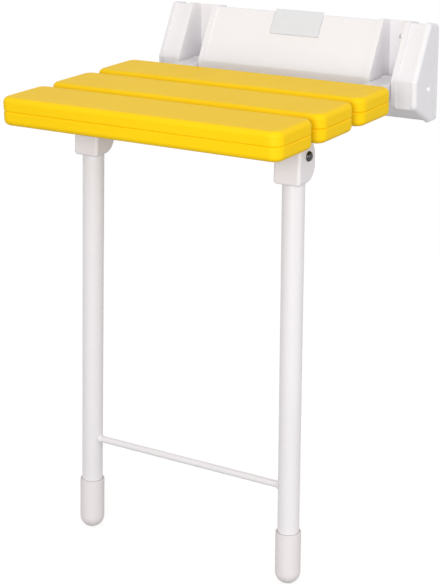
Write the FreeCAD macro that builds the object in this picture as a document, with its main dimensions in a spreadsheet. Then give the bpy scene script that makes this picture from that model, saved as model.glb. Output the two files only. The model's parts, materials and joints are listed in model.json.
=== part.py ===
import FreeCAD, Part
import math
import os
import re
import Sketcher

# Fold down wall seat, millimetres. The origin is the middle of the wall screw pattern, on the wall.
# X runs along the wall, Y runs into the wall and Z runs up.

doc = FreeCAD.newDocument("fold_down_wall_seat")
sheet = doc.addObject("Spreadsheet::Sheet", "Sizes")

# Driving dimensions
SIZES = [
    ("running_gap", "0.05", "radial play of a pin in its bore"),
    ("face_gap", "0.3", "play between faces that slide past each other"),
    ("mount_height", "529", "middle of the wall screws above the floor"),
    ("screw_span", "242", "wall screws, across"),
    ("screw_rise", "16", "wall screws, up"),
    ("screw_radius", "2.25", "wall screw hole"),
    ("seat_width", "325", "length of each slat"),
    ("seat_drop", "23.8", "top of the slats below the origin"),
    ("rear_reach", "106.8", "rear slat's rear edge from the wall"),
    ("slat_depth", "70", "one slat, front to back"),
    ("slat_gap", "11.8", "open gap between slats"),
    ("slat_thick", "29.2", "slat, top to bottom"),
    ("slat_corner", "11.6", "slat corner in plan"),
    ("slat_round", "5.9", "rounding of the slat's long edges"),
    ("slat_wall", "3.2", "thickness of the slat shells"),
    ("slat_rib", "2.4", "thickness of the slat ribs"),
    ("seam_size", "1.2", "chamfer on each side of the slat seam"),
    ("boss_radius", "4.6", "screw boss in a slat"),
    ("slat_screw_radius", "1.7", "screw that joins two slat shells"),
    ("slat_head_radius", "3.4", "head of that screw"),
    ("slat_head_depth", "2.2", "height of that head"),
    ("slat_grip", "8", "shell held between that head and the seam"),
    ("slat_bite", "8.3", "length of that screw above the seam"),
    ("arm_centre", "121", "arms and legs from the middle"),
    ("arm_width", "24", "arm tube, across"),
    ("arm_height", "16.5", "arm tube, up"),
    ("arm_wall", "1.5", "arm tube wall"),
    ("arm_front", "322", "front end of the arms from the wall"),
    ("arm_start", "32.6", "rear end of the arm tubes from the wall"),
    ("arm_screw_radius", "2", "screw into an arm"),
    ("hub_radius", "10.5", "round end of an arm"),
    ("plug_length", "28", "part of the hub inside the arm tube"),
    ("hinge_reach", "21.5", "seat hinge from the wall"),
    ("hinge_drop", "42.5", "seat hinge below the origin"),
    ("axle_radius", "3", "seat hinge rod"),
    ("washer_radius", "8", "nylon washer"),
    ("bracket_width", "326.4", "wall bracket, across"),
    ("bracket_wall", "3", "wall of the bracket moulding"),
    ("bracket_top", "26.6", "top of the bracket panels above the origin"),
    ("top_fall", "4", "fall of the bracket's top towards the wall"),
    ("bracket_low", "80.2", "underside of the bracket below the origin"),
    ("under_sink", "2", "underside above the end rims"),
    ("top_depth", "18.6", "bracket depth at the top"),
    ("foot_depth", "51.9", "bracket depth at the bottom"),
    ("slope_drop", "29.8", "lower end of the sloped face below the origin"),
    ("front_drop", "58.6", "lower end of the front face below the origin"),
    ("under_depth", "15", "where the slanted underside ends"),
    ("rim_rise", "2", "rims above the panels"),
    ("rim_proud", "1.9", "rims in front of the panels"),
    ("rim_width", "5.6", "width of the rims"),
    ("end_round", "4.5", "rounding of the bracket's end edges"),
    ("top_round", "4", "rounding at the top of the slope"),
    ("slope_round", "5", "rounding at the bottom of the slope"),
    ("front_round", "6", "rounding under the front face"),
    ("under_round", "2.5", "rounding where the underside ends"),
    ("groove_width", "1", "shadow grooves of the bracket, across"),
    ("groove_depth", "1", "shadow grooves of the bracket, deep"),
    ("flange_depth", "9", "wall flange of the bracket, from the wall"),
    ("channel_width", "26", "channel that an arm turns in"),
    ("channel_back", "5", "thickness of the channel's back"),
    ("ledge_front", "49.5", "front of the ledge under an arm"),
    ("ledge_rear", "35.5", "rear of that ledge"),
    ("channel_low", "61", "channel floor below the origin"),
    ("rib_step", "52.5", "spacing of the bracket's ribs"),
    ("shelf_rise", "4", "shelf behind the bracket, above the slope's lower end"),
    ("label_width", "60", "label plate, across"),
    ("label_shift", "4", "middle of the label plate, to the right"),
    ("label_thick", "1.1", "label plate, thickness"),
    ("label_length", "24", "label plate, height"),
    ("pivot_reach", "236", "leg pivot from the wall"),
    ("pivot_drop", "71.5", "leg pivot below the origin"),
    ("plate_thick", "3", "plate of the leg lug"),
    ("plate_length", "34", "plate of the leg lug, front to back"),
    ("eye_width", "12", "eye of the leg lug, across"),
    ("eye_radius", "8", "eye of the leg lug"),
    ("bush_radius", "5", "bush in the eye"),
    ("lug_screw_step", "12.8", "lug screws from the pivot"),
    ("fork_width", "30", "leg connector, across"),
    ("fork_front", "16", "connector's front face from the pivot"),
    ("fork_rear", "15.2", "connector's rear face from the pivot"),
    ("fork_low", "27", "connector's underside from the pivot"),
    ("fork_lean", "2.9", "how far the connector's front foot steps forward"),
    ("fork_sweep", "17", "round rear of the connector"),
    ("fork_round", "3.2", "rounding of the connector's upright edges"),
    ("slot_low", "9.5", "bottom of the fork slot below the pivot"),
    ("bolt_radius", "3", "pivot bolt"),
    ("bolt_head_radius", "5.3", "domed head of the pivot bolt"),
    ("bolt_head_height", "3.5", "height of that head"),
    ("nut_radius", "5", "cap nut on the pivot bolt"),
    ("nut_height", "5", "height of the cap nut"),
    ("leg_lean", "2.9", "legs lean forward, degrees"),
    ("leg_splay", "0.81", "legs splay outward, degrees"),
    ("leg_offset", "2.3", "leg axis in front of the pivot"),
    ("tube_radius", "11.5", "leg tube"),
    ("tube_wall", "1.5", "leg tube wall"),
    ("socket_top", "11.5", "top of the leg tube below the pivot"),
    ("mouth_gap", "1", "gap around the tube in the connector's mouth"),
    ("mouth_depth", "2.4", "depth of that gap"),
    ("bar_radius", "3.7", "cross bar"),
    ("bar_height", "107.9", "cross bar above the floor"),
    ("foot_radius", "13.5", "foot sleeve"),
    ("foot_height", "58.6", "top of the foot above the floor"),
    ("foot_travel", "15", "how far a foot can be screwed out"),
    ("stud_radius", "4", "threaded stud of the foot"),
    ("insert_length", "14", "insert nut in the tube's end"),
    # Worked out from the sizes above
    ("seam_drop", "=seat_drop + slat_thick / 2", "slat seam below the origin"),
    ("base_drop", "=seat_drop + slat_thick", "underside of the slats"),
    ("arm_low", "=base_drop - slat_wall", "underside of the arms"),
    ("arm_top", "=arm_low - arm_height", "top of the arms, below the origin"),
    ("slat_pitch", "=slat_depth + slat_gap", "slat to slat"),
    ("rear_centre", "=rear_reach + slat_depth / 2", "middle of the rear slat"),
    ("plate_drop", "=base_drop + plate_thick", "underside of the lug plate"),
    ("fork_top", "=pivot_drop - plate_drop - face_gap", "connector's top above the pivot"),
    ("leg_reach", "=pivot_reach + leg_offset", "leg axis from the wall at pivot height"),
    ("dome_drop", "=(mount_height - pivot_drop - foot_radius) / (cos(leg_lean) * cos(leg_splay))",
     "middle of the foot's dome, along the leg from pivot height"),
    ("sleeve_length", "=(foot_height - foot_radius) / cos(leg_lean)", "straight part of the foot"),
    ("tube_end", "=dome_drop - 6.8", "lower end of the leg tube, along the leg"),
    ("stud_length", "=foot_travel + insert_length + 15", "threaded stud of the foot, lengthwise"),
    ("bar_drop", "=mount_height - bar_height", "cross bar below the origin"),
    ("bar_fall", "=bar_drop - pivot_drop", "cross bar below the pivot"),
    ("bar_reach", "=leg_reach + bar_fall * tan(leg_lean)", "cross bar from the wall"),
    ("bar_half", "=arm_centre + bar_fall * tan(leg_splay) / cos(leg_lean) - tube_radius + tube_wall + 0.8",
     "half the length of the cross bar"),
    ("channel_in", "=arm_centre - channel_width / 2", "inner side of a channel"),
    ("channel_out", "=arm_centre + channel_width / 2", "outer side of a channel"),
    ("washer_thick", "=(channel_width - arm_width) / 2 - 0.2", "nylon washer"),
]

for row, (alias, content, note) in enumerate(SIZES, 1):
    sheet.set(f"A{row}", alias)
    sheet.set(f"B{row}", content)
    sheet.set(f"C{row}", note)
    sheet.setAlias(f"B{row}", alias)
doc.recompute()

SIDES = (("left", "-"), ("right", "+"))
SLATS = (("rear", 0), ("middle", 1), ("front", 2))
nodes = []


# Helpers

def bound(text):
    """Turn a formula in plain size names into one that reads the spreadsheet."""
    return re.sub(r"[a-z]+(?:_[a-z]+)+", lambda found: "Sizes." + found.group(0), str(text))


def value(text):
    """Work a formula out to a plain number."""
    return float(sheet.evalExpression(bound(text)))


def keep(item, name):
    """Name a finished sub-part and list it as a node."""
    item.Label = name
    nodes.append((name, item))
    return item


def new_body(name):
    return doc.addObject("PartDesign::Body", name)


def new_sketch(body, role, offset):
    """Put an empty sketch on one of the body's own origin planes."""
    plane = [part for part in body.Origin.OriginFeatures if part.Role == role][0]
    sketch = body.newObject("Sketcher::SketchObject", body.Name + "_sketch")
    sketch.AttachmentSupport = [(plane, "")]
    sketch.MapMode = "FlatFace"
    sketch.setExpression("AttachmentOffset.Base.z", bound(offset))
    return sketch


def tie(sketch, geometry, end, across, up):
    """Hold one point of the sketch at a place given by two formulas."""
    for kind, formula in (("DistanceX", across), ("DistanceY", up)):
        index = sketch.addConstraint(Sketcher.Constraint(kind, -1, 1, geometry, end, value(formula)))
        sketch.setExpression(f"Constraints[{index}]", bound(formula))


def draw(sketch, corners):
    """Draw a closed outline. A corner is (across, up) or (across, up, rounding)."""
    points = [FreeCAD.Vector(value(corner[0]), value(corner[1]), 0) for corner in corners]
    rounds = [value(corner[2]) if len(corner) > 2 else 0 for corner in corners]
    count = len(corners)
    before = []
    after = []
    for index in range(count):
        back = (points[index - 1] - points[index]).normalize()
        ahead = (points[(index + 1) % count] - points[index]).normalize()
        reach = rounds[index] / math.tan(back.getAngle(ahead) / 2)
        before.append(points[index] + back * reach)
        after.append(points[index] + ahead * reach)
    lines = []
    for index in range(count):
        lines.append(sketch.addGeometry(Part.LineSegment(after[index], before[(index + 1) % count])))
    for index in range(count):
        previous, current = lines[index - 1], lines[index]
        if not rounds[index]:
            sketch.addConstraint(Sketcher.Constraint("Coincident", previous, 2, current, 1))
            tie(sketch, current, 1, corners[index][0], corners[index][1])
            continue
        middle = before[index] + after[index] - points[index] * 2
        heart = points[index] + middle.normalize() * math.hypot(
            rounds[index], (before[index] - points[index]).Length)
        spoke = before[index] - heart
        other = after[index] - heart
        start = math.atan2(spoke.y, spoke.x)
        turn = math.atan2(spoke.x * other.y - spoke.y * other.x, spoke * other)
        first, last = (1, 2) if turn > 0 else (2, 1)
        ends = sorted((start, start + turn))
        circle = Part.Circle(heart, FreeCAD.Vector(0, 0, 1), rounds[index])
        arc = sketch.addGeometry(Part.ArcOfCircle(circle, *ends))
        corner_point = sketch.addGeometry(Part.Point(points[index]), True)
        sketch.addConstraint(Sketcher.Constraint("Tangent", previous, 2, arc, first))
        sketch.addConstraint(Sketcher.Constraint("Tangent", arc, last, current, 1))
        radius = sketch.addConstraint(Sketcher.Constraint("Radius", arc, rounds[index]))
        sketch.setExpression(f"Constraints[{radius}]", bound(corners[index][2]))
        sketch.addConstraint(Sketcher.Constraint("PointOnObject", corner_point, 1, previous))
        sketch.addConstraint(Sketcher.Constraint("PointOnObject", corner_point, 1, current))
        tie(sketch, corner_point, 1, corners[index][0], corners[index][1])


def outline(body, role, corners, *others, offset="0"):
    """Make a sketch of one or more closed outlines."""
    sketch = new_sketch(body, role, offset)
    for item in (corners,) + others:
        draw(sketch, item)
    return sketch


def box_corners(left, right, low, high, rounding=None):
    corners = [(left, low), (right, low), (right, high), (left, high)]
    if rounding:
        corners = [corner + (rounding,) for corner in corners]
    return corners


def box_outline(body, role, left, right, low, high, offset="0", rounding=None):
    return outline(body, role, box_corners(left, right, low, high, rounding), offset=offset)


def circles(body, role, places, radius, offset="0"):
    """Draw one circle at each place."""
    sketch = new_sketch(body, role, offset)
    for across, up in places:
        centre = FreeCAD.Vector(value(across), value(up), 0)
        index = sketch.addGeometry(Part.Circle(centre, FreeCAD.Vector(0, 0, 1), value(radius)))
        size = sketch.addConstraint(Sketcher.Constraint("Radius", index, value(radius)))
        sketch.setExpression(f"Constraints[{size}]", bound(radius))
        tie(sketch, index, 3, across, up)
    return sketch


def settle(*items):
    """Mark freshly worked out items as done, so that the last recompute doesn't repeat them."""
    for item in items:
        item.purgeTouched()


def feature(body, kind, sketch, depth, reverse=False, middle=False):
    sketch.recompute()
    volume = body.Tip.Shape.Volume if body.Tip else 0
    made = body.newObject("PartDesign::" + kind, body.Name + "_" + kind.lower())
    made.Profile = sketch
    made.setExpression("Length", bound(depth))
    made.Reversed = reverse
    if middle:
        made.SideType = "Symmetric"
    made.recompute()
    settle(sketch, made)
    change = made.Shape.Volume - volume
    if (kind == "Pad") != (change > 1e-3) or abs(change) < 1e-3:
        raise RuntimeError(f"{made.Name} in {body.Name} changes nothing: {change}")
    return made


def pad(body, sketch, depth, **options):
    return feature(body, "Pad", sketch, depth, **options)


def pocket(body, sketch, depth, **options):
    return feature(body, "Pocket", sketch, depth, **options)


def dress(body, kind, size, choose):
    """Round or chamfer the edges of the body that the test picks."""
    base = body.Tip
    names = [f"Edge{number}" for number, edge in enumerate(base.Shape.Edges, 1) if choose(edge)]
    if not names:
        raise RuntimeError(f"no edge to dress in {body.Name}")
    made = body.newObject("PartDesign::" + kind, body.Name + "_" + kind.lower())
    made.Base = (base, names)
    made.setExpression("Radius" if kind == "Fillet" else "Size", bound(size))
    made.recompute()
    settle(made)
    return made


def level(edge, height):
    """Say whether an edge lies flat at this height."""
    box = edge.BoundBox
    return abs(box.ZMin - height) < 1e-4 and abs(box.ZMax - height) < 1e-4


def move(item, across="0", along="0", up="0", turn=None):
    """Bind the item's Placement to three formulas, and to a rotation where one is given."""
    where = f"vector({bound(across)}; {bound(along)}; {bound(up)})"
    item.setExpression("Placement", f"placement({where}; {turn or 'rotation(vector(0;0;1); 0)'})")
    return item


def rod(name, radius, length):
    made = doc.addObject("Part::Cylinder", name)
    made.setExpression("Radius", bound(radius))
    made.setExpression("Height", bound(length))
    return made


def ball(name, radius):
    made = doc.addObject("Part::Sphere", name)
    made.setExpression("Radius", bound(radius))
    return made


def join(name, pieces):
    made = doc.addObject("Part::MultiFuse", name)
    made.Shapes = pieces
    return made


def take(name, base, tool):
    made = doc.addObject("Part::Cut", name)
    made.Base = base
    made.Tool = tool
    return made


def group(name, pieces):
    made = doc.addObject("Part::Compound", name)
    made.Links = pieces
    return made


ALONG_X = "rotation(vector(0;1;0); 90)"


def leg_turn(sign):
    """The rotation that leans a leg forward and splays it outward."""
    return bound(f"rotation(vector(1;0;0); -leg_lean) * rotation(vector(0;1;0); {sign}(-leg_splay))")


def on_leg(item, sign, down):
    """Put an item on a leg's axis, this far down the leg from pivot height."""
    return move(
        item,
        f"{sign}(arm_centre + ({down}) * sin(leg_splay))",
        f"-(leg_reach + ({down}) * sin(leg_lean) * cos(leg_splay))",
        f"-(pivot_drop + ({down}) * cos(leg_lean) * cos(leg_splay))",
        leg_turn(sign),
    )


# Wall bracket

def panel_corners(proud, rise):
    """Side outline of the bracket, in front of and above the panels by the given sizes."""
    return [
        ("0", f"bracket_top + {rise} - top_fall"),
        ("0", "-bracket_low"),
        ("-under_depth", "-bracket_low", "under_round"),
        (f"-(foot_depth + {proud})", "-front_drop", "front_round"),
        (f"-(foot_depth + {proud})", "-slope_drop", "slope_round"),
        (f"-(top_depth + {proud})", f"bracket_top + {rise}", "top_round"),
    ]


def sink_panel(body, left, right):
    """Lower a panel between two rims, on the front and on the top."""
    strip = [
        ("1", "bracket_top - top_fall"),
        ("-top_depth", "bracket_top", "top_round / 2"),
        ("-foot_depth", "-slope_drop", "slope_round - 1"),
        ("-foot_depth", "-(front_drop + 6)"),
        ("-(foot_depth + 10)", "-(front_drop + 6)"),
        ("-(foot_depth + 10)", "bracket_top + 20"),
        ("1", "bracket_top + 20"),
    ]
    pocket(body, outline(body, "YZ_Plane", strip, offset=left), f"({right}) - ({left})", reverse=True)


def sink_underside(body):
    """Raise the slanted underside between the two end rims."""
    rim = "bracket_width / 2 - rim_width"
    strip = [
        ("1", "-(bracket_low - under_sink)"),
        ("-under_depth", "-(bracket_low - under_sink)"),
        ("-(foot_depth + 2)", "-(front_drop + 1)"),
        ("-(foot_depth + 2)", "-(bracket_low + 10)"),
        ("1", "-(bracket_low + 10)"),
    ]
    pocket(body, outline(body, "YZ_Plane", strip, offset=f"-({rim})"), f"({rim}) * 2", reverse=True)


def hollow(body, left, right):
    """Open two cells from the back, with a shelf between them."""
    inner_front = "-(foot_depth - bracket_wall)"
    shelf = "shelf_rise - slope_drop"
    slope = "(foot_depth - top_depth) / (bracket_top + slope_drop)"
    upper = [
        ("1", "bracket_top - bracket_wall - top_fall"),
        ("1", f"{shelf} + bracket_wall / 2"),
        (f"{inner_front} + shelf_rise * {slope}", f"{shelf} + bracket_wall / 2"),
        ("-(top_depth - 2)", "bracket_top - bracket_wall - 0.5"),
    ]
    lower = [
        ("1", f"{shelf} - bracket_wall / 2"),
        ("1", "-(bracket_low - under_sink - bracket_wall)"),
        ("-(under_depth - 1)", "-(bracket_low - under_sink - bracket_wall)"),
        (inner_front, "-(front_drop - 1)"),
        (inner_front, "-(slope_drop + 1)"),
        (f"{inner_front} + 1.6", f"{shelf} - bracket_wall / 2"),
    ]
    pocket(body, outline(body, "YZ_Plane", upper, lower, offset=left), f"({right}) - ({left})", reverse=True)


def slope_depth(up):
    """Depth of the sloped panel at a height above the origin."""
    return f"top_depth + (bracket_top - ({up})) * (foot_depth - top_depth) / (bracket_top + slope_drop)"


def label_groove(body):
    """A groove along the label plate's lower edge and both of its sides."""
    low = "bracket_top + rim_rise - label_length - groove_width"
    high = "bracket_top + 1"
    corners = [
        (f"-({slope_depth(low)} - groove_depth)", low),
        (f"-({slope_depth(high)} - groove_depth)", high),
        (f"-({slope_depth(high)} + 5)", high),
        (f"-({slope_depth(low)} + 5)", low),
    ]
    half = "label_width / 2 + groove_width"
    for left, right in ((f"label_shift - ({half})", "label_shift - label_width / 2"),
                        ("label_shift + label_width / 2", f"label_shift + {half}")):
        pocket(body, outline(body, "YZ_Plane", corners, offset=left), f"({right}) - ({left})", reverse=True)
    corners[1:3] = [
        (f"-({slope_depth(low + ' + groove_width')} - groove_depth)", f"{low} + groove_width"),
        (f"-({slope_depth(low + ' + groove_width')} + 5)", f"{low} + groove_width"),
    ]
    start = f"label_shift - ({half})"
    pocket(body, outline(body, "YZ_Plane", corners, offset=start), f"({half}) * 2", reverse=True)


def cheek_grooves(body):
    """Grooves beside each end rim on the front face, and along the wall flange on each end."""
    front = box_corners("-(foot_depth + 1)", "-(foot_depth - groove_depth)", "-(front_drop + 4)", "-(slope_drop + 1)")
    flange = box_corners("-(flange_depth + groove_width)", "-flange_depth", "-(bracket_low + 5)", "bracket_top + 10")
    rim = "bracket_width / 2 - rim_width"
    skin = "bracket_width / 2 - groove_depth / 2"
    for start in (f"{rim} - groove_width", f"-({rim})"):
        pocket(body, outline(body, "YZ_Plane", front, offset=start), "groove_width", reverse=True)
    for start in (skin, f"-({skin}) - 2"):
        pocket(body, outline(body, "YZ_Plane", flange, offset=start), "2", reverse=True)


def wall_bracket():
    body = new_body("wall_bracket")
    pad(body, outline(body, "YZ_Plane", panel_corners("rim_proud", "rim_rise")), "bracket_width", middle=True)
    half = value("bracket_width / 2")

    def on_end(edge):
        box = edge.BoundBox
        flat = box.XLength < 1e-4 and abs(abs(box.XMin) - half) < 1e-4
        return flat and box.YMin < -1e-3

    dress(body, "Fillet", "end_round", on_end)
    sink_panel(body, "-(channel_in - rim_width)", "channel_in - rim_width")
    outer = ("channel_out + rim_width", "bracket_width / 2 - rim_width")
    sink_panel(body, outer[0], outer[1])
    sink_panel(body, f"-({outer[1]})", f"-({outer[0]})")
    sink_underside(body)
    cheek_grooves(body)
    label_groove(body)
    channel = [
        ("-(foot_depth + 10)", "bracket_top + 10"),
        ("-(foot_depth + 10)", "-(arm_low + face_gap)"),
        ("-ledge_rear", "-(arm_low + face_gap)"),
        ("-ledge_rear", "-channel_low"),
        ("-channel_back", "-channel_low"),
        ("-channel_back", "bracket_top + 10"),
    ]
    face = [
        ("-(foot_depth + 10)", "-(arm_low - 2)"),
        ("-(foot_depth + 10)", "-channel_low"),
        ("-ledge_front", "-channel_low"),
        ("-ledge_front", "-(arm_low - 2)"),
    ]
    for start in ("-channel_out", "channel_in"):
        for corners in (channel, face):
            pocket(body, outline(body, "YZ_Plane", corners, offset=start), "channel_width", reverse=True)
    block = "channel_out + bracket_wall"
    end = "bracket_width / 2 - bracket_wall"
    hollow(body, block, end)
    hollow(body, f"-({end})", f"-({block})")
    walls = ["-(channel_in - bracket_wall / 2)", "-rib_step", "0", "rib_step", "channel_in - bracket_wall / 2"]
    for left, right in zip(walls, walls[1:]):
        hollow(body, f"{left} + bracket_wall / 2", f"{right} - bracket_wall / 2")
    bore = circles(body, "YZ_Plane", [("-hinge_reach", "-hinge_drop")], "axle_radius + running_gap")
    pocket(body, bore, "bracket_width + 2", middle=True)
    holes = []
    for across in ("-screw_span / 2", "screw_span / 2"):
        for up in ("-screw_rise / 2", "screw_rise / 2"):
            holes.append((across, up))
    pocket(body, circles(body, "XZ_Plane", holes, "screw_radius"), "channel_back * 2 + 2", middle=True)
    pegs = circles(body, "XZ_Plane", label_peg_places(), "1.5 + running_gap", "top_depth - 5")
    pocket(body, pegs, "20", reverse=True)
    keep(body, "wall_bracket")


def label_peg_places():
    return [(f"label_shift + {sign}label_width / 4", "bracket_top - 7") for sign in ("-", "")]


def label_plate():
    """A bare plate on the sloped face. It stands above the panel's top edge."""
    body = new_body("label_plate")
    low = "bracket_top - label_length + rim_rise"
    high = "bracket_top + rim_rise + 0.5"
    corners = [
        (f"-({slope_depth(low)})", low),
        (f"-({slope_depth(high)})", high),
        (f"-({slope_depth(high)} + label_thick)", high),
        (f"-({slope_depth(low)} + label_thick)", low),
    ]
    plate = outline(body, "YZ_Plane", corners, offset="label_shift - label_width / 2")
    pad(body, plate, "label_width", reverse=False)
    pegs = circles(body, "XZ_Plane", label_peg_places(), "1.5", "top_depth - 1")
    pad(body, pegs, f"{slope_depth('bracket_top - 7')} - top_depth + 1.6")
    keep(body, "label_plate")


def hinge_parts():
    axle = move(rod("hinge_axle", "axle_radius", "bracket_width - 0.6"),
                "-(bracket_width / 2 - 0.3)", "-hinge_reach", "-hinge_drop", ALONG_X)
    keep(axle, "hinge_axle")
    for side, sign in SIDES:
        washers = []
        for edge in ("inner", "outer"):
            low = "channel_in" if edge == "inner" else "arm_centre + arm_width / 2"
            centre = f"{low} + (channel_width - arm_width) / 4"
            start = f"{sign}({centre}) - washer_thick / 2"
            disc = move(rod(f"{edge}_disc_{side}", "washer_radius", "washer_thick"),
                        start, "-hinge_reach", "-hinge_drop", ALONG_X)
            hole = move(rod(f"{edge}_eye_{side}", "axle_radius + running_gap", "washer_thick"),
                        start, "-hinge_reach", "-hinge_drop", ALONG_X)
            washers.append(take(f"{edge}_washer_{side}", disc, hole))
        keep(group(f"washers_{side}", washers), f"hinge_washers_{side}")


# Seat

def slat_screw_places():
    places = []
    for across in ("-seat_width / 2 + 13", "-seat_width / 4 + 4", "seat_width / 4 - 4", "seat_width / 2 - 13"):
        places.append((across, "0"))
    return places


def arm_screw_places(row):
    """Screws from below into the arms, seen from the middle of the slat."""
    if row != 1:
        return [("-arm_centre", "0"), ("arm_centre", "0")]
    lug = "rear_centre + slat_pitch - pivot_reach"
    places = []
    for across in ("-arm_centre", "arm_centre"):
        for step in ("lug_screw_step", "-lug_screw_step"):
            places.append((across, f"{lug} + {step}"))
    return places


def slat_shell(slat, row, upper):
    """One half of a slat, open toward the seam, which is the body's own XY plane."""
    name = f"{slat}_slat_{'top' if upper else 'base'}"
    body = new_body(name)
    grow = "slat_thick / 2"
    ends = ("-seat_width / 2", "seat_width / 2", "-slat_depth / 2", "slat_depth / 2")
    pad(body, box_outline(body, "XY_Plane", *ends, rounding="slat_corner"), grow, reverse=not upper)
    face = value(grow) if upper else -value(grow)
    dress(body, "Fillet", "slat_round", lambda edge: level(edge, face))
    dress(body, "Chamfer", "seam_size", lambda edge: level(edge, 0))
    inner = ("-(seat_width / 2 - slat_wall)", "seat_width / 2 - slat_wall",
             "-(slat_depth / 2 - slat_wall)", "slat_depth / 2 - slat_wall")
    cavity = box_outline(body, "XY_Plane", *inner, rounding="slat_corner - slat_wall")
    pocket(body, cavity, "slat_thick / 2 - slat_wall", reverse=upper)
    depth = "slat_thick / 2 - slat_wall / 2"
    spine = box_outline(body, "XY_Plane", "-(seat_width - slat_wall) / 2", "(seat_width - slat_wall) / 2",
                        "-slat_rib / 2", "slat_rib / 2")
    pad(body, spine, depth, reverse=not upper)
    ribs = []
    for step in (-3, -2, -1, 0, 1, 2, 3):
        middle = f"{step} * seat_width / 7.4"
        ribs.append(box_corners(f"{middle} - slat_rib / 2", f"{middle} + slat_rib / 2",
                                "-(slat_depth - slat_wall) / 2", "(slat_depth - slat_wall) / 2"))
    pad(body, outline(body, "XY_Plane", *ribs), depth, reverse=not upper)
    pad(body, circles(body, "XY_Plane", slat_screw_places(), "boss_radius"), depth, reverse=not upper)
    # The arms pass through both shells, and stop inside the front slat
    front = "-(slat_depth / 2 + 1)"
    if slat == "front":
        front = f"-(arm_front - (rear_centre + slat_pitch * {row}) + face_gap)"
    notch_depth = "seam_drop - arm_top" if upper else "arm_low - seam_drop"
    notches = []
    for centre in ("-arm_centre", "arm_centre"):
        notches.append(box_corners(f"{centre} - arm_width / 2 - running_gap",
                                   f"{centre} + arm_width / 2 + running_gap", front, "slat_depth / 2 + 1"))
    pocket(body, outline(body, "XY_Plane", *notches), notch_depth, reverse=upper)
    if upper:
        pocket(body, circles(body, "XY_Plane", slat_screw_places(), "slat_screw_radius"), "slat_bite + 0.2", reverse=True)
    else:
        pocket(body, circles(body, "XY_Plane", slat_screw_places(), "slat_screw_radius + running_gap"),
               "slat_thick / 2 + 1")
        recess = circles(body, "XY_Plane", slat_screw_places(), "slat_head_radius + 0.3", "-(slat_thick / 2 + 1)")
        pocket(body, recess, "slat_thick / 2 + 1 - slat_grip", reverse=True)
        pocket(body, circles(body, "XY_Plane", arm_screw_places(row), "arm_screw_radius + running_gap"),
               "slat_thick / 2 + 1")
    move(body, "0", f"-(rear_centre + slat_pitch * {row})", "-seam_drop")
    keep(body, name)


def slat_screws():
    screws = []
    for slat, row in SLATS:
        for number, (across, _) in enumerate(slat_screw_places(), 1):
            along = f"-(rear_centre + slat_pitch * {row})"
            head = rod(f"{slat}_head_{number}", "slat_head_radius", "slat_head_depth")
            move(head, across, along, "-(seam_drop + slat_grip + slat_head_depth)")
            shank = rod(f"{slat}_shank_{number}", "slat_screw_radius", "slat_grip + 0.2 + slat_bite")
            move(shank, across, along, "-(seam_drop + slat_grip + 0.2)")
            screws.append(join(f"{slat}_screw_{number}", [head, shank]))
    keep(group("slat_screw_group", screws), "slat_screws")


def arm(side, sign):
    body = new_body(f"arm_{side}")
    low = ("-arm_width / 2", "arm_width / 2", "0", "arm_height")
    hole = ("-(arm_width / 2 - arm_wall)", "arm_width / 2 - arm_wall", "arm_wall", "arm_height - arm_wall")
    pad(body, box_outline(body, "XZ_Plane", *low, rounding="1.6"), "arm_front - arm_start")
    pocket(body, box_outline(body, "XZ_Plane", *hole, offset="-1"), "arm_front", reverse=True)
    screws = []
    for slat, row in SLATS:
        for across, along in arm_screw_places(row):
            if across == "arm_centre":
                screws.append(("0", f"{along} - (rear_centre + slat_pitch * {row}) + arm_start"))
    pocket(body, circles(body, "XY_Plane", screws, "arm_screw_radius", "-1"), "arm_wall + 2", reverse=True)
    move(body, f"{sign}arm_centre", "-arm_start", "-arm_low")
    keep(body, f"arm_{side}")


def arm_hub(side, sign):
    """Round end of an arm, with a block and a plug that goes into the arm tube."""
    body = new_body(f"arm_hub_{side}")
    pad(body, circles(body, "YZ_Plane", [("0", "0")], "hub_radius"), "arm_width", middle=True)
    low = "hinge_drop - arm_low"
    block = box_outline(body, "YZ_Plane", "hinge_reach - arm_start", "0", low, f"{low} + arm_height")
    pad(body, block, "arm_width", middle=True)
    plug = box_outline(body, "YZ_Plane", "hinge_reach - arm_start - plug_length", "0",
                       f"{low} + arm_wall + running_gap", f"{low} + arm_height - arm_wall - running_gap")
    pad(body, plug, "arm_width - (arm_wall + running_gap) * 2", middle=True)
    pocket(body, circles(body, "YZ_Plane", [("0", "0")], "axle_radius + running_gap"), "arm_width + 2", middle=True)
    move(body, f"{sign}arm_centre", "-hinge_reach", "-hinge_drop")
    keep(body, f"arm_hub_{side}")


def arm_screws():
    """Pan head screws through the front and rear slats into the arms."""
    screws = []
    for slat, row in SLATS:
        if row == 1:
            continue
        for side, sign in SIDES:
            along = f"-(rear_centre + slat_pitch * {row})"
            head = rod(f"{slat}_pan_{side}", "4", "2")
            move(head, f"{sign}arm_centre", along, "-(base_drop + 2)")
            shank = rod(f"{slat}_body_{side}", "arm_screw_radius", "9")
            move(shank, f"{sign}arm_centre", along, "-(base_drop + 0.2)")
            screws.append(join(f"{slat}_arm_screw_{side}", [head, shank]))
    keep(group("arm_screw_group", screws), "arm_screws")


# Leg hinge

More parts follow.
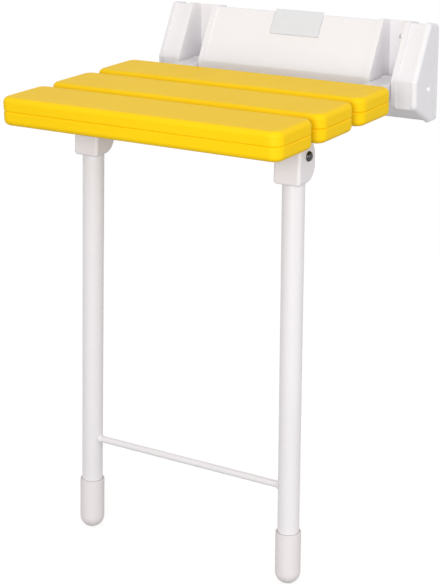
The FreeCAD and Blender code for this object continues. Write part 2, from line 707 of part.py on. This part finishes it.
def leg_lug(side, sign):
    """Plate screwed under the arm, with an eye for the pivot bolt. The body's origin is the pivot."""
    body = new_body(f"leg_lug_{side}")
    top = "pivot_drop - base_drop"
    bottom = "pivot_drop - plate_drop"
    plate = box_outline(body, "XY_Plane", "-arm_width / 2", "arm_width / 2",
                        "-plate_length / 2", "plate_length / 2", bottom, rounding="2")
    pad(body, plate, "plate_thick")
    eye = [
        ("-eye_radius", bottom + " + 1"),
        ("-eye_radius", "-eye_radius", "eye_radius - 0.05"),
        ("eye_radius", "-eye_radius", "eye_radius - 0.05"),
        ("eye_radius", bottom + " + 1"),
    ]
    pad(body, outline(body, "YZ_Plane", eye), "eye_width", middle=True)
    pocket(body, circles(body, "YZ_Plane", [("0", "0")], "bush_radius"), "eye_width + 2", middle=True)
    places = [("0", "lug_screw_step"), ("0", "-lug_screw_step")]
    pocket(body, circles(body, "XY_Plane", places, "arm_screw_radius + running_gap", bottom + " - 1"),
           "plate_thick + 2", reverse=True)
    low = value(bottom)

    def hole_edge(edge):
        return level(edge, low) and edge.Closed

    dress(body, "Chamfer", "1.8", hole_edge)
    move(body, f"{sign}arm_centre", "-pivot_reach", "-pivot_drop")
    keep(body, f"leg_lug_{side}")


def lug_screws():
    """Countersunk screws, flush in the lug plates, through the slat base into the arms."""
    screws = []
    for side, sign in SIDES:
        for step in ("lug_screw_step", "-lug_screw_step"):
            name = f"lug_screw_{side}_{'rear' if step[0] != '-' else 'front'}"
            head = doc.addObject("Part::Cone", name + "_head")
            head.setExpression("Radius1", bound("arm_screw_radius + running_gap + 1.6"))
            head.setExpression("Radius2", bound("arm_screw_radius"))
            head.setExpression("Height", "1.6")
            along = f"-pivot_reach + {step}"
            move(head, f"{sign}arm_centre", along, "-(plate_drop - 0.1)")
            shank = rod(name + "_shank", "arm_screw_radius", "12")
            move(shank, f"{sign}arm_centre", along, "-(plate_drop - 0.3)")
            screws.append(join(name, [head, shank]))
    keep(group("lug_screw_group", screws), "lug_screws")


def pivot_parts(side, sign):
    """Bush, bolt with a domed head outside, and cap nut inside."""
    outer = move(rod(f"bush_outer_{side}", "bush_radius", "eye_width + 0.2"),
                 f"{sign}arm_centre - (eye_width + 0.2) / 2", "-pivot_reach", "-pivot_drop", ALONG_X)
    inner = move(rod(f"bush_inner_{side}", "bolt_radius + running_gap", "eye_width + 0.2"),
                 f"{sign}arm_centre - (eye_width + 0.2) / 2", "-pivot_reach", "-pivot_drop", ALONG_X)
    keep(take(f"bush_{side}", outer, inner), f"pivot_bush_{side}")
    face = "arm_centre + fork_width / 2"
    back = "arm_centre - fork_width / 2"
    dome = "(bolt_head_radius^2 + bolt_head_height^2) / (2 * bolt_head_height)"
    sphere = move(ball(f"dome_{side}", dome), f"{sign}({face} + bolt_head_height - {dome})",
                  "-pivot_reach", "-pivot_drop")
    slab = rod(f"dome_slab_{side}", "bolt_head_radius", "bolt_head_height + 1")
    shift = "0" if sign == "+" else "bolt_head_height + 1"
    move(slab, f"{sign}({face}) - ({shift})", "-pivot_reach", "-pivot_drop", ALONG_X)
    head = doc.addObject("Part::Common", f"bolt_head_{side}")
    head.Base = sphere
    head.Tool = slab
    shank = rod(f"bolt_shank_{side}", "bolt_radius", "fork_width + nut_height")
    start = f"{back} - nut_height + 0.5" if sign == "+" else f"-({face} + 0.5)"
    move(shank, start, "-pivot_reach", "-pivot_drop", ALONG_X)
    keep(join(f"bolt_{side}", [head, shank]), f"pivot_bolt_{side}")
    nut = doc.addObject("Part::Prism", f"nut_hex_{side}")
    nut.Polygon = 6
    nut.setExpression("Circumradius", bound("nut_radius"))
    nut.setExpression("Height", bound("nut_height"))
    cap = ball(f"nut_cap_{side}", "nut_radius - 1")
    bore = rod(f"nut_bore_{side}", "bolt_radius", "nut_height - 0.3")
    cover = f"{back} - nut_height" if sign == "+" else f"-({back})"
    move(nut, cover, "-pivot_reach", "-pivot_drop", ALONG_X)
    move(cap, f"{sign}({back} - nut_height)", "-pivot_reach", "-pivot_drop")
    mouth = f"{back} - nut_height + 0.3" if sign == "+" else f"-({back})"
    move(bore, mouth, "-pivot_reach", "-pivot_drop", ALONG_X)
    keep(take(f"nut_{side}", join(f"nut_solid_{side}", [nut, cap]), bore), f"pivot_nut_{side}")


def leg_connector(side, sign):
    """Fork around the eye, with a socket for the leg tube from below."""
    body = new_body(f"connector_body_{side}")
    profile = [
        ("-fork_front", "fork_top", "1.5"),
        ("-(fork_front + fork_lean)", "-fork_low", "2"),
        ("fork_rear", "-fork_low", "fork_sweep"),
        ("fork_rear", "fork_top", "fork_rear - 0.3"),
    ]
    pad(body, outline(body, "YZ_Plane", profile), "fork_width", middle=True)
    front = value("fork_front")

    def upright(edge):
        box = edge.BoundBox
        return box.XLength < 1e-4 and box.ZLength > 30 and box.YMax < -front + 2

    dress(body, "Fillet", "fork_round", upright)
    # The slot is open above and behind, and the front stays closed
    slot = box_outline(body, "YZ_Plane", "-slot_low", "fork_rear + 5", "-slot_low", "fork_top + 5")
    pocket(body, slot, "eye_width + face_gap * 2", middle=True)
    bore = circles(body, "YZ_Plane", [("0", "0")], "bolt_radius + running_gap")
    pocket(body, bore, "fork_width + 2", middle=True)
    move(body, f"{sign}arm_centre", "-pivot_reach", "-pivot_drop")
    socket = rod(f"socket_{side}", "tube_radius", "30")
    on_leg(socket, sign, "socket_top + 30")
    mouth = rod(f"mouth_{side}", "tube_radius + mouth_gap", "mouth_depth + 6")
    on_leg(mouth, sign, "fork_low + 6")
    tools = join(f"connector_tools_{side}", [socket, mouth])
    keep(take(f"connector_{side}", body, tools), f"leg_connector_{side}")


# Legs and feet

def leg_tube(side, sign):
    length = "tube_end - socket_top"
    outer = on_leg(rod(f"tube_outer_{side}", "tube_radius", length), sign, "tube_end")
    inner = on_leg(rod(f"tube_inner_{side}", "tube_radius - tube_wall", f"{length} + 2"), sign, "tube_end + 1")
    hole = rod(f"bar_hole_{side}", "bar_radius", "10")
    start = "bar_half - 8" if sign == "+" else "-(bar_half + 2)"
    move(hole, start, "-bar_reach", "-bar_drop", ALONG_X)
    pipe = take(f"pipe_{side}", outer, inner)
    keep(take(f"tube_{side}", pipe, hole), f"leg_tube_{side}")


def cross_bar():
    bar = move(rod("cross_bar", "bar_radius", "bar_half * 2"), "-bar_half", "-bar_reach", "-bar_drop", ALONG_X)
    keep(bar, "cross_bar")


def foot(side, sign):
    """Sleeve foot on a threaded stud, and the insert nut that the stud turns in."""
    sleeve = on_leg(rod(f"sleeve_{side}", "foot_radius", "sleeve_length"), sign, "dome_drop")
    dome = on_leg(ball(f"foot_dome_{side}", "foot_radius"), sign, "dome_drop")
    solid = join(f"foot_solid_{side}", [sleeve, dome])
    cavity = rod(f"foot_cavity_{side}", "tube_radius + running_gap * 2", "sleeve_length")
    on_leg(cavity, sign, "dome_drop - 3")
    seat = rod(f"stud_seat_{side}", "stud_radius", "10")
    on_leg(seat, sign, "dome_drop + 4")
    tools = join(f"foot_tools_{side}", [cavity, seat])
    keep(take(f"foot_{side}", solid, tools), f"foot_sleeve_{side}")
    keep(on_leg(rod(f"stud_{side}", "stud_radius", "stud_length"), sign, "dome_drop + 4"), f"foot_stud_{side}")
    plug = on_leg(rod(f"plug_{side}", "tube_radius - tube_wall", "insert_length"), sign, "tube_end")
    thread = on_leg(rod(f"thread_{side}", "stud_radius + running_gap", "insert_length + 2"), sign, "tube_end + 1")
    keep(take(f"insert_{side}", plug, thread), f"tube_insert_{side}")


wall_bracket()
label_plate()
hinge_parts()
for slat, row in SLATS:
    slat_shell(slat, row, True)
    slat_shell(slat, row, False)
slat_screws()
arm_screws()
lug_screws()
for side, sign in SIDES:
    arm(side, sign)
    arm_hub(side, sign)
    leg_lug(side, sign)
    pivot_parts(side, sign)
    leg_connector(side, sign)
    leg_tube(side, sign)
    foot(side, sign)
cross_bar()
doc.recompute()

# Check every object, then write one file for each node
for item in doc.Objects:
    if "Invalid" in item.State or "Error" in item.State:
        raise RuntimeError(f"{item.Name} is {item.State}")
os.makedirs("parts", exist_ok=True)
for name, item in nodes:
    shape = item.Shape
    if shape.isNull() or not shape.isValid() or shape.Volume < 1:
        raise RuntimeError(f"{name} has no sound shape")
    shape.exportStep(f"parts/{name}.step")
    print(f"{name}: {len(shape.Solids)} solids, {shape.Volume / 1000:.1f} cm3")
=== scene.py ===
import json
import math
import bmesh
import bpy
from mathutils import Matrix, Vector


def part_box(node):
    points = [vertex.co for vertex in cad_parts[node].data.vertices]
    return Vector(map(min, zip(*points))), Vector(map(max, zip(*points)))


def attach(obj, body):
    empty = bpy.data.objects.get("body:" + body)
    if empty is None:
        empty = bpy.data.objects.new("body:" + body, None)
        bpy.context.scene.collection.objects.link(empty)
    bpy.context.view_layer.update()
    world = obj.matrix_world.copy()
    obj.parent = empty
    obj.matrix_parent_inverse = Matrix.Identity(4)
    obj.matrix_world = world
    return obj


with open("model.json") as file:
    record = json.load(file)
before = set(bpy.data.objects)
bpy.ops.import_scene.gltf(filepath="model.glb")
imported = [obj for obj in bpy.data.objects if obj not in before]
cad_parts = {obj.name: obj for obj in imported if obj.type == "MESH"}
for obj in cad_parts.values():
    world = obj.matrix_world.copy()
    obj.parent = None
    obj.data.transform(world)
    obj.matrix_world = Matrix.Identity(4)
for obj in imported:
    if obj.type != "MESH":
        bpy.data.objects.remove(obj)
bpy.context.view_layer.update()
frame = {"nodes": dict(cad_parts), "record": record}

# Camera at the photograph's view. Metres and degrees, in the row frame.
CAMERA_PLACE = Vector((0.8652, -1.5601, 0.3122))
CAMERA_AZIMUTH = 32.18
CAMERA_DROP = 19.085
CAMERA_ROLL = -0.75
CAMERA_LENS = 98.33

MM = 0.001
FLOOR_LEVEL = min(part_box(f"foot_sleeve_{side}")[0].z for side in ("left", "right"))
LEAN = math.radians(2.9)
SPLAY = math.radians(0.81)
TUBE_RADIUS = 11.5 * MM
FOOT_RADIUS = 13.5 * MM
FOOT_HEIGHT = 58.6 * MM
SIDES = (("left", -1), ("right", 1))

TUBE_WALL = 1.5 * MM
BAR_ENTRY = 0.8 * MM

# Lamps: place and aim in metres, power in watts, width in metres
AIM = (0, -0.2, -0.2)
KEY_PLACE = (0.85, -2.2, 0.3)
KEY_POWER = 24
KEY_WIDTH = 0.9
FILL_PLACE = (2.4, -0.5, 0.2)
FILL_POWER = 9
FILL_WIDTH = 1.2
WORLD_STRENGTH = 0.76

# Colours are linear. A shade is the darker tone of the colour above it
YELLOW = (0.98, 0.645, 0.004)
YELLOW_DEEP = (0.96, 0.615, 0.003)
BRACKET_WHITE = (0.85, 0.84, 0.865)
BRACKET_SHADE = (0.83, 0.82, 0.845)
LABEL_WHITE = (0.73, 0.75, 0.79)
LABEL_SHADE = (0.71, 0.73, 0.77)
ENAMEL_WHITE = (0.825, 0.805, 0.82)
LEG_SHADE = (0.795, 0.775, 0.79)
ARM_SHADE = (0.795, 0.78, 0.79)
CONNECTOR_WHITE = (0.84, 0.82, 0.84)
CONNECTOR_SHADE = (0.81, 0.78, 0.80)
FOOT_WHITE = (0.82, 0.775, 0.78)
FOOT_SHADE = (0.79, 0.74, 0.745)
NYLON = (0.72, 0.71, 0.68)
NYLON_SHADE = (0.68, 0.67, 0.64)
STEEL = (0.56, 0.56, 0.58)
# Near black: the chrome colour is darkened as a painted dark reflection of surroundings that the stage does
# not have
CHROME_PAINTED_DARK_REFLECTION = (0.075, 0.073, 0.073)
NICKEL = (0.88, 0.88, 0.89)
# Near black: painted shade inside the bolt socket recess
SOCKET_PAINTED_SHADE = (0.03, 0.03, 0.032)
# Grey ring colours: painted shade for the shadowed gap at the mouth of each foot sleeve
GAP_SHADE_GREY = (0.52, 0.48, 0.48)
GAP_SHADE_DARKER = (0.48, 0.44, 0.44)
FLOOR_COLOUR = (0.27, 0.265, 0.265)
FLOOR_GLOW = 0.8


# Materials

def new_material(name):
    """Return a material with its node tree, its shader and a noise coordinate."""
    material = bpy.data.materials.new(name)
    material.use_nodes = True
    tree = material.node_tree
    shader = tree.nodes["Principled BSDF"]
    place = tree.nodes.new("ShaderNodeTexCoord")
    return material, tree, shader, place.outputs["Object"]


def noise(tree, place, scale, detail=3.0, rough=0.55):
    node = tree.nodes.new("ShaderNodeTexNoise")
    node.inputs["Scale"].default_value = scale
    node.inputs["Detail"].default_value = detail
    node.inputs["Roughness"].default_value = rough
    tree.links.new(place, node.inputs["Vector"])
    return node.outputs["Fac"]


def spread(tree, source, low, high, start=0.3, end=0.7):
    """Map a noise value to a range."""
    node = tree.nodes.new("ShaderNodeMapRange")
    node.inputs["From Min"].default_value = start
    node.inputs["From Max"].default_value = end
    node.inputs["To Min"].default_value = low
    node.inputs["To Max"].default_value = high
    tree.links.new(source, node.inputs["Value"])
    return node.outputs["Result"]


def blend_colours(tree, factor, first, second):
    node = tree.nodes.new("ShaderNodeMix")
    node.data_type = "RGBA"
    node.inputs["A"].default_value = (*first, 1)
    node.inputs["B"].default_value = (*second, 1)
    tree.links.new(factor, node.inputs["Factor"])
    return node.outputs["Result"]


def add_bump(tree, shader, layers):
    """Stack bumps. Each layer is (height source, distance in metres, strength)."""
    previous = None
    for source, distance, strength in layers:
        node = tree.nodes.new("ShaderNodeBump")
        node.inputs["Distance"].default_value = distance
        node.inputs["Strength"].default_value = strength
        tree.links.new(source, node.inputs["Height"])
        if previous:
            tree.links.new(previous, node.inputs["Normal"])
        previous = node.outputs["Normal"]
    tree.links.new(previous, shader.inputs["Normal"])


def moulded(name, colour, shade, rough, grain=900.0, depth=0.00003, specular=0.5):
    """Moulded plastic: faint flow clouds, a fine grain and slightly uneven gloss."""
    material, tree, shader, place = new_material(name)
    cloud = noise(tree, place, 9.0)
    speck = noise(tree, place, 260.0, 2.0)
    mixed = blend_colours(tree, spread(tree, cloud, 0.0, 1.0), colour, shade)
    tree.links.new(mixed, shader.inputs["Base Color"])
    tree.links.new(spread(tree, speck, rough - 0.05, rough + 0.05), shader.inputs["Roughness"])
    shader.inputs["Specular IOR Level"].default_value = specular
    layers = [(noise(tree, place, grain, 2.0), depth, 0.35), (noise(tree, place, 38.0, 1.0), 0.00012, 0.12)]
    add_bump(tree, shader, layers)
    return material


def enamel(name, colour, shade, rough):
    """Powder coat on tube: a fine orange peel."""
    material, tree, shader, place = new_material(name)
    cloud = noise(tree, place, 14.0)
    mixed = blend_colours(tree, spread(tree, cloud, 0.0, 1.0), colour, shade)
    tree.links.new(mixed, shader.inputs["Base Color"])
    gloss = spread(tree, noise(tree, place, 420.0), rough - 0.04, rough + 0.06)
    tree.links.new(gloss, shader.inputs["Roughness"])
    shader.inputs["Coat Weight"].default_value = 0.15
    shader.inputs["Coat Roughness"].default_value = 0.2
    add_bump(tree, shader, [(noise(tree, place, 620.0, 2.0), 0.00004, 0.3)])
    return material


def metal(name, colour, rough, stretch=(1, 1, 1)):
    """Bare or plated metal with faint drawn marks along one axis."""
    material, tree, shader, place = new_material(name)
    mapping = tree.nodes.new("ShaderNodeMapping")
    mapping.inputs["Scale"].default_value = stretch
    tree.links.new(place, mapping.inputs["Vector"])
    marks = noise(tree, mapping.outputs["Vector"], 700.0, 2.0)
    darker = tuple(value * 0.86 for value in colour)
    tree.links.new(blend_colours(tree, marks, colour, darker), shader.inputs["Base Color"])
    tree.links.new(spread(tree, marks, rough * 0.8, rough * 1.25), shader.inputs["Roughness"])
    shader.inputs["Metallic"].default_value = 1.0
    add_bump(tree, shader, [(marks, 0.00001, 0.2)])
    return material


def make_materials():
    return {
        "slat_plastic": moulded("slat_yellow", YELLOW, YELLOW_DEEP, 0.5, specular=0.12),
        "bracket_plastic": moulded("bracket_white", BRACKET_WHITE, BRACKET_SHADE, 0.40),
        "label_plastic": moulded("label_white", LABEL_WHITE, LABEL_SHADE, 0.5, grain=1400.0),
        "connector_plastic": moulded("connector_white", CONNECTOR_WHITE, CONNECTOR_SHADE, 0.42),
        "foot_plastic": moulded("foot_white", FOOT_WHITE, FOOT_SHADE, 0.5, grain=700.0, depth=0.00005),
        "nylon": moulded("nylon", NYLON, NYLON_SHADE, 0.45),
        "leg_enamel": enamel("leg_enamel", ENAMEL_WHITE, LEG_SHADE, 0.32),
        "arm_enamel": enamel("arm_enamel", ENAMEL_WHITE, ARM_SHADE, 0.34),
        "axle_steel": metal("axle_steel", STEEL, 0.24, stretch=(0.05, 1, 1)),
        "lug_steel": metal("lug_steel", STEEL, 0.32, stretch=(1, 0.1, 1)),
        "screw_steel": metal("screw_steel", STEEL, 0.3),
        # The bolt heads' near-black chrome colour is a painted dark reflection
        "bolt_chrome": metal("bolt_chrome", CHROME_PAINTED_DARK_REFLECTION, 0.1),
        # Painted shade for the faces inside the bolt socket recess
        "socket_painted_shade": metal("socket_painted_shade", SOCKET_PAINTED_SHADE, 0.4),
        "cap_nickel": metal("cap_nickel", NICKEL, 0.35),
        # Painted shade for the grey rings in the foot sleeve mouths
        "painted_gap_shade": moulded("painted_gap_shade", GAP_SHADE_GREY, GAP_SHADE_DARKER, 0.6),
    }


materials = make_materials()


# The CAD nodes: materials by slot, softened edges and smooth shading

def dress_nodes():
    slots = {part["node"]: part["material_slot"] for part in frame["record"]["subparts"]}
    for name, piece in frame["nodes"].items():
        piece.data.materials.clear()
        piece.data.materials.append(materials[slots[name]])
        for polygon in piece.data.polygons:
            polygon.use_smooth = True
        weld = piece.modifiers.new("weld", "WELD")
        weld.merge_threshold = 0.00001
        flat = piece.modifiers.new("flat", "DECIMATE")
        flat.decimate_type = "DISSOLVE"
        flat.angle_limit = math.radians(0.6)
        edge = piece.modifiers.new("edge", "BEVEL")
        edge.width = 0.0004
        edge.segments = 2
        edge.limit_method = "ANGLE"
        edge.angle_limit = math.radians(38)
        edge.use_clamp_overlap = True
        normal = piece.modifiers.new("normal", "WEIGHTED_NORMAL")
        normal.keep_sharp = True


# Pieces added in Blender

def lathe(name, profile, turns=48):
    """Turn a profile of (distance along, radius) about the X axis. Ends on the axis are closed."""
    mesh = bmesh.new()
    rings = []
    for along, radius in profile:
        if radius < 1e-7:
            rings.append([mesh.verts.new((along, 0, 0))])
            continue
        ring = []
        for step in range(turns):
            angle = 2 * math.pi * step / turns
            ring.append(mesh.verts.new((along, radius * math.cos(angle), radius * math.sin(angle))))
        rings.append(ring)
    for first, second in zip(rings, rings[1:]):
        for step in range(turns):
            after = (step + 1) % turns
            corners = []
            for vertex in (first[step % len(first)], first[after % len(first)],
                           second[after % len(second)], second[step % len(second)]):
                if vertex not in corners:
                    corners.append(vertex)
            mesh.faces.new(corners)
    bmesh.ops.recalc_face_normals(mesh, faces=mesh.faces)
    data = bpy.data.meshes.new(name)
    mesh.to_mesh(data)
    mesh.free()
    for polygon in data.polygons:
        polygon.use_smooth = True
    piece = bpy.data.objects.new(name, data)
    bpy.context.scene.collection.objects.link(piece)
    return piece


def finish_piece(piece, slot, body, material=None):
    if not piece.data.materials:
        piece.data.materials.append(materials[material or slot])
    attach(piece, body)
    return piece


def leg_direction(sign):
    """Unit vector down a leg."""
    across = sign * math.sin(SPLAY)
    forward = -math.sin(LEAN) * math.cos(SPLAY)
    down = -math.cos(LEAN) * math.cos(SPLAY)
    return Vector((across, forward, down))


def turned(direction):
    """Rotation that takes the X axis to this direction."""
    return Vector((1, 0, 0)).rotation_difference(direction).to_matrix().to_4x4()


def bolt_heads():
    """Polished button heads with a hex socket, on the outer faces of the connectors. The socket's faces are
    painted near black as painted shade.
    """
    for side, sign in SIDES:
        low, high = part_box(f"pivot_bolt_{side}")
        centre = (low + high) / 2
        radius = (high.y - low.y) / 2
        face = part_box(f"leg_connector_{side}")[1 if sign > 0 else 0].x
        rise = abs((high.x if sign > 0 else low.x) - face)
        profile = [(0.0, radius * 0.98)]
        for step in range(1, 8):
            angle = math.radians(90 - 68 * step / 7)
            profile.append((rise * math.sin(math.radians(90 * step / 8)), radius * math.sin(angle)))
        profile += [(rise, 1.95 * MM), (rise * 0.92, 1.75 * MM), (rise * 0.45, 1.7 * MM), (rise * 0.4, 0)]
        head = lathe(f"pivot_bolt_head_{side}", [(0.0, 0.0)] + profile, 48)
        head.data.materials.append(materials["bolt_chrome"])
        head.data.materials.append(materials["socket_painted_shade"])
        # Faces inside the socket recess take the near-black painted shade material
        for polygon in head.data.polygons:
            reach = math.hypot(polygon.center.y, polygon.center.z)
            if polygon.center.x > rise * 0.2 and reach < 1.8 * MM:
                polygon.material_index = 1
        head.matrix_world = Matrix.Translation((face, centre.y, centre.z)) @ turned(Vector((sign, 0, 0)))
        finish_piece(head, "bolt_chrome", "legs")


def axle_caps():
    """Bright push-on caps on the ends of the hinge rod."""
    low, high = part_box("hinge_axle")
    centre = (low + high) / 2
    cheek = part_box("wall_bracket")[1].x
    for side, sign in SIDES:
        profile = [(-0.2 * MM, 0.0), (-0.2 * MM, 3.6 * MM), (0.25 * MM, 3.55 * MM), (0.5 * MM, 3.1 * MM),
                   (0.95 * MM, 2.6 * MM), (1.25 * MM, 1.6 * MM), (1.35 * MM, 0.0)]
        cap = lathe(f"axle_cap_{side}", profile, 40)
        place = Matrix.Translation((sign * cheek, centre.y, centre.z))
        cap.matrix_world = place @ turned(Vector((sign, 0, 0)))
        finish_piece(cap, "bolt_chrome", "wall_bracket", "cap_nickel")


def bar_welds():
    """Small weld beads where the cross bar enters the tubes."""
    low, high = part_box("cross_bar")
    centre = (low + high) / 2
    radius = (high.z - low.z) / 2
    for side, sign in SIDES:
        face = (high.x if sign > 0 else low.x) - sign * (TUBE_WALL + BAR_ENTRY)
        profile = [(-0.6 * MM, radius), (-0.6 * MM, radius + 1.5 * MM), (0.2 * MM, radius + 1.45 * MM),
                   (0.9 * MM, radius + 1.0 * MM), (1.5 * MM, radius + 0.45 * MM),
                   (2.3 * MM, radius + 0.1 * MM), (2.4 * MM, radius - 0.1 * MM),
                   (-0.6 * MM, radius - 0.1 * MM)]
        bead = lathe(f"bar_weld_{side}", profile, 40)
        bead.matrix_world = Matrix.Translation((face, centre.y, centre.z)) @ turned(Vector((-sign, 0, 0)))
        finish_piece(bead, "leg_enamel", "legs")


def painted_gap_shade_rings():
    """A thin grey ring in the mouth of each foot sleeve: painted shade standing in for the shadowed gap
    between sleeve and tube.
    """
    for side, sign in SIDES:
        low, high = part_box(f"foot_sleeve_{side}")
        down = leg_direction(sign)
        dome = Vector(((low.x + FOOT_RADIUS) if sign < 0 else (high.x - FOOT_RADIUS), low.y + FOOT_RADIUS,
                       FLOOR_LEVEL + FOOT_RADIUS))
        top = dome - down * ((FOOT_HEIGHT - FOOT_RADIUS) / math.cos(LEAN))
        inner = TUBE_RADIUS + 0.05 * MM
        outer = TUBE_RADIUS + 1.05 * MM
        profile = [(0.0, inner), (0.25 * MM, inner), (0.35 * MM, TUBE_RADIUS + 0.5 * MM),
                   (0.25 * MM, outer - 0.05 * MM), (0.0, outer),
                   (-0.6 * MM, outer - 0.05 * MM), (-0.6 * MM, inner)]
        ring = lathe(f"foot_gap_shade_{side}", profile, 64)
        ring.matrix_world = Matrix.Translation(top) @ turned(-down)
        finish_piece(ring, "foot_plastic", f"foot_{side}", "painted_gap_shade")


# Stage, light and camera

def background_rays(tree):
    """Return 1 for rays that show the background: from the camera, a mirror or glass."""
    path = tree.nodes.new("ShaderNodeLightPath")
    total = path.outputs["Is Camera Ray"]
    for kind in ("Is Glossy Ray", "Is Transmission Ray"):
        larger = tree.nodes.new("ShaderNodeMath")
        larger.operation = "MAXIMUM"
        tree.links.new(total, larger.inputs[0])
        tree.links.new(path.outputs[kind], larger.inputs[1])
        total = larger.outputs[0]
    return total


def make_floor():
    mesh = bpy.data.meshes.new("floor")
    size = 6.0
    corners = [(-size, -size, 0), (size, -size, 0), (size, size, 0), (-size, size, 0)]
    mesh.from_pydata(corners, [], [(0, 1, 2, 3)])
    floor = bpy.data.objects.new("floor", mesh)
    floor.location.z = FLOOR_LEVEL
    bpy.context.scene.collection.objects.link(floor)
    material = bpy.data.materials.new("floor_pale")
    material.use_nodes = True
    tree = material.node_tree
    tree.nodes.clear()
    output = tree.nodes.new("ShaderNodeOutputMaterial")
    diffuse = tree.nodes.new("ShaderNodeBsdfDiffuse")
    diffuse.inputs["Color"].default_value = (*FLOOR_COLOUR, 1)
    glow = tree.nodes.new("ShaderNodeEmission")
    fade = tree.nodes.new("ShaderNodeMath")
    fade.operation = "MULTIPLY"
    fade.inputs[1].default_value = FLOOR_GLOW
    tree.links.new(background_rays(tree), fade.inputs[0])
    tree.links.new(fade.outputs[0], glow.inputs["Strength"])
    both = tree.nodes.new("ShaderNodeAddShader")
    tree.links.new(diffuse.outputs[0], both.inputs[0])
    tree.links.new(glow.outputs[0], both.inputs[1])
    tree.links.new(both.outputs[0], output.inputs["Surface"])
    mesh.materials.append(material)


def make_world():
    world = bpy.data.worlds.new("studio")
    bpy.context.scene.world = world
    world.use_nodes = True
    tree = world.node_tree
    tree.nodes.clear()
    output = tree.nodes.new("ShaderNodeOutputWorld")
    light = tree.nodes.new("ShaderNodeBackground")
    light.inputs["Color"].default_value = (1.0, 0.985, 0.985, 1)
    light.inputs["Strength"].default_value = WORLD_STRENGTH
    white = tree.nodes.new("ShaderNodeBackground")
    white.inputs["Color"].default_value = (1, 1, 1, 1)
    mix = tree.nodes.new("ShaderNodeMixShader")
    tree.links.new(background_rays(tree), mix.inputs["Fac"])
    tree.links.new(light.outputs[0], mix.inputs[1])
    tree.links.new(white.outputs[0], mix.inputs[2])
    tree.links.new(mix.outputs[0], output.inputs["Surface"])


def area_lamp(name, place, aim, power, size):
    data = bpy.data.lights.new(name, "AREA")
    data.energy = power
    data.size = size
    lamp = bpy.data.objects.new(name, data)
    lamp.location = place
    lamp.rotation_euler = (Vector(aim) - Vector(place)).to_track_quat("-Z", "Y").to_euler()
    bpy.context.scene.collection.objects.link(lamp)


def make_camera():
    azimuth = math.radians(CAMERA_AZIMUTH)
    drop = math.radians(CAMERA_DROP)
    roll = math.radians(CAMERA_ROLL)
    ahead = Vector((-math.sin(azimuth) * math.cos(drop), math.cos(azimuth) * math.cos(drop), -math.sin(drop)))
    right = Vector((math.cos(azimuth), math.sin(azimuth), 0))
    up = right.cross(ahead)
    turned_right = right * math.cos(roll) + up * math.sin(roll)
    turned_up = up * math.cos(roll) - right * math.sin(roll)
    data = bpy.data.cameras.new("camera")
    data.lens = CAMERA_LENS
    data.sensor_width = 36
    camera = bpy.data.objects.new("camera", data)
    matrix = Matrix((turned_right, turned_up, -ahead)).transposed().to_4x4()
    matrix.translation = CAMERA_PLACE
    camera.matrix_world = matrix
    bpy.context.scene.collection.objects.link(camera)
    bpy.context.scene.camera = camera


dress_nodes()
bolt_heads()
axle_caps()
bar_welds()
painted_gap_shade_rings()
make_floor()
make_world()
area_lamp("key", KEY_PLACE, AIM, KEY_POWER, KEY_WIDTH)
area_lamp("fill", FILL_PLACE, AIM, FILL_POWER, FILL_WIDTH)
make_camera()
bpy.context.scene.view_settings.view_transform = "Standard"
